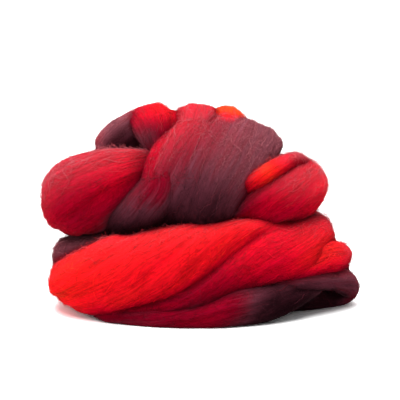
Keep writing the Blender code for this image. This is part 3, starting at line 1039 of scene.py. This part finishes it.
def body_material():
    """Combed wool seen up close: streaks along the fibre in colour, tone, roughness and relief, with
    painted shade in the crevices and a painted sheen on the open upper side.
    """
    wool = bpy.data.materials.new("combed_wool")
    wool.use_nodes = True
    tree = wool.node_tree
    shader = tree.nodes["Principled BSDF"]
    grain = crimped_grain(tree)
    locks = noise_node(tree, stretched(tree, grain, LOCK_GRAIN), 2).outputs["Fac"]
    streaks = noise_node(tree, stretched(tree, grain, STREAK_GRAIN), 4, 0.6).outputs["Fac"]
    hairs = noise_node(tree, stretched(tree, grain, HAIR_GRAIN), 3).outputs["Fac"]

    dye = read_node(tree, "dye", "Fac")
    # painted shade: darker wool, further along the dyes, in the crevices
    shade = read_node(tree, "shade", "Fac")
    drift = math_node(tree, "ADD", centred(tree, locks, LOCK_DYE), centred(tree, streaks, STREAK_DYE))
    mixed = math_node(tree, "ADD", dye, drift)
    colour = dyed_with_painted_shade(tree, math_node(tree, "ADD", mixed, scaled(tree, shade, SHADE_DYES, 0.0)))

    fine = math_node(tree, "ADD", centred(tree, streaks, STREAK_TONE), centred(tree, hairs, HAIR_TONE))
    contrast = scaled(tree, fine, FINE_CONTRAST, 1.0)
    tone = math_node(tree, "ADD", contrast, centred(tree, locks, LOCK_TONE))
    toned = brightened(tree, colour, shaded(tree, tone, shade))
    # painted sheen: a pale veil on the open upper side
    tree.links.new(with_painted_sheen(tree, toned, dye, BODY_PAINTED_SHEEN), shader.inputs["Base Color"])

    tree.links.new(scaled(tree, streaks, 0.3, 0.6), shader.inputs["Roughness"])
    shader.inputs["Specular IOR Level"].default_value = 0.0
    shader.inputs["Sheen Weight"].default_value = 0.1
    shader.inputs["Sheen Roughness"].default_value = 0.3
    shader.inputs["Sheen Tint"].default_value = (1.0, 0.5, 0.54, 1)

    bump = tree.nodes.new("ShaderNodeBump")
    bump.inputs["Strength"].default_value = 0.5
    bump.inputs["Distance"].default_value = 0.4 * MM
    tree.links.new(fine, bump.inputs["Height"])
    tree.links.new(bump.outputs["Normal"], shader.inputs["Normal"])
    return wool


def fibre_material(name, veil, brightness):
    """Single fibres, each with its own tone, under the painted shade and painted sheen of their skin.
    """
    wool = bpy.data.materials.new(name)
    wool.use_nodes = True
    tree = wool.node_tree
    shader = tree.nodes["Principled BSDF"]
    # painted shade from the skin under the fibre
    shade = read_node(tree, "shade", "Fac")
    deeper = scaled(tree, shade, SHADE_DYES, 0.0)
    dye = math_node(tree, "ADD", read_node(tree, "dye", "Fac"), deeper)
    own = read_node(tree, "tone", "Fac")
    tone = scaled(tree, own, TONE_SPAN * brightness, TONE_LEAST * brightness)
    toned = brightened(tree, dyed_with_painted_shade(tree, dye), shaded(tree, tone, shade))
    # painted sheen: pale fibre on the open upper side
    tree.links.new(with_painted_sheen(tree, toned, dye, veil), shader.inputs["Base Color"])
    shader.inputs["Roughness"].default_value = 0.6
    shader.inputs["Specular IOR Level"].default_value = 0.04
    return wool


# ---------------------------------------------------------------- studio
CAMERA_ELEVATION = 10.0  # degrees over the table
CAMERA_DISTANCE = 1.3
AIM = (0.0, 0.0, 0.0771)
VIEW_WIDTH = 0.2892  # what the picture spans at the bundle
SENSOR = 36.0
FLOOR_HALF = 12.0  # metres from the middle of the floor to its edge
FLOOR_SEEN, FLOOR_LIT = 1.5, 0.62  # how pale the floor is to the camera, and to bounced light
SKY_SEEN, SKY_LIT = 1.0, 0.13  # the same for the strength of the studio's walls

# The studio's soft lights: where each shines from, its strength and its softness in degrees.
SUNS = {
    "overhead": ((-0.08, -0.4, 1.0), 3.65, 42),
    "behind": ((0.0, 1.0, 0.8), 1.3, 50),
    "left_rim": ((-1.0, 0.25, 0.4), 1.1, 60),
    "right_rim": ((1.0, 0.2, 0.4), 1.1, 60),
    "left_fill": ((-1.0, -0.45, 0.12), 1.35, 50),
}


def studio_camera():
    data = bpy.data.cameras.new("camera")
    camera = placed("camera", data)
    tilt = math.radians(CAMERA_ELEVATION)
    back = Vector((0, -math.cos(tilt), math.sin(tilt)))
    camera.location = Vector(AIM) + back * CAMERA_DISTANCE
    camera.rotation_euler = back.to_track_quat("Z", "Y").to_euler()
    data.sensor_width = SENSOR
    data.lens = SENSOR * CAMERA_DISTANCE / VIEW_WIDTH
    bpy.context.scene.camera = camera


def sun(name, direction, strength, softness):
    data = bpy.data.lights.new(name, "SUN")
    data.energy = strength
    data.angle = math.radians(softness)
    light = placed(name, data)
    light.rotation_euler = Vector(direction).to_track_quat("Z", "Y").to_euler()


def camera_only(tree, seen, otherwise):
    """A value for what the camera sees directly, and another for the light that bounces."""
    path = tree.nodes.new("ShaderNodeLightPath")
    mix = tree.nodes.new("ShaderNodeMix")
    mix.inputs["A"].default_value = otherwise
    mix.inputs["B"].default_value = seen
    tree.links.new(path.outputs["Is Camera Ray"], mix.inputs["Factor"])
    return mix.outputs["Result"]


def studio_light():
    for name, (direction, strength, softness) in SUNS.items():
        sun(name, direction, strength, softness)
    world = bpy.data.worlds.new("studio")
    bpy.context.scene.world = world
    world.use_nodes = True
    tree = world.node_tree
    background = tree.nodes["Background"]
    background.inputs["Color"].default_value = (1, 1, 1, 1)
    tree.links.new(camera_only(tree, SKY_SEEN, SKY_LIT), background.inputs["Strength"])
    bpy.context.scene.view_settings.view_transform = "Standard"


def floor():
    """A plain white table, wider than any view of it."""
    half = FLOOR_HALF
    corners = [(-half, -half, 0), (half, -half, 0), (half, half, 0), (-half, half, 0)]
    data = bpy.data.meshes.new("floor")
    data.from_pydata(corners, [], [(0, 1, 2, 3)])
    plate = placed("floor", data)
    paper = bpy.data.materials.new("white_paper")
    paper.use_nodes = True
    tree = paper.node_tree
    shader = tree.nodes["Principled BSDF"]
    tree.links.new(camera_only(tree, FLOOR_SEEN, FLOOR_LIT), shader.inputs["Base Color"])
    shader.inputs["Roughness"].default_value = 0.9
    shader.inputs["Specular IOR Level"].default_value = 0.0
    data.materials.append(paper)


def main():
    strands = [Strand(name, spine, stations) for name, (spine, *stations) in STRANDS.items()]
    wool = body_material()
    for strand in strands:
        wool_body(strand, strands, wool)
    for number, core in enumerate(CORES, 1):
        packed_wool(core, number, wool)
    for name, kind in KINDS.items():
        material = fibre_material(kind.material, kind.veil, kind.brightness)
        fibre_pieces(name, strands, kind.sort, material, kind.spread)
    studio_camera()
    studio_light()
    floor()


main()
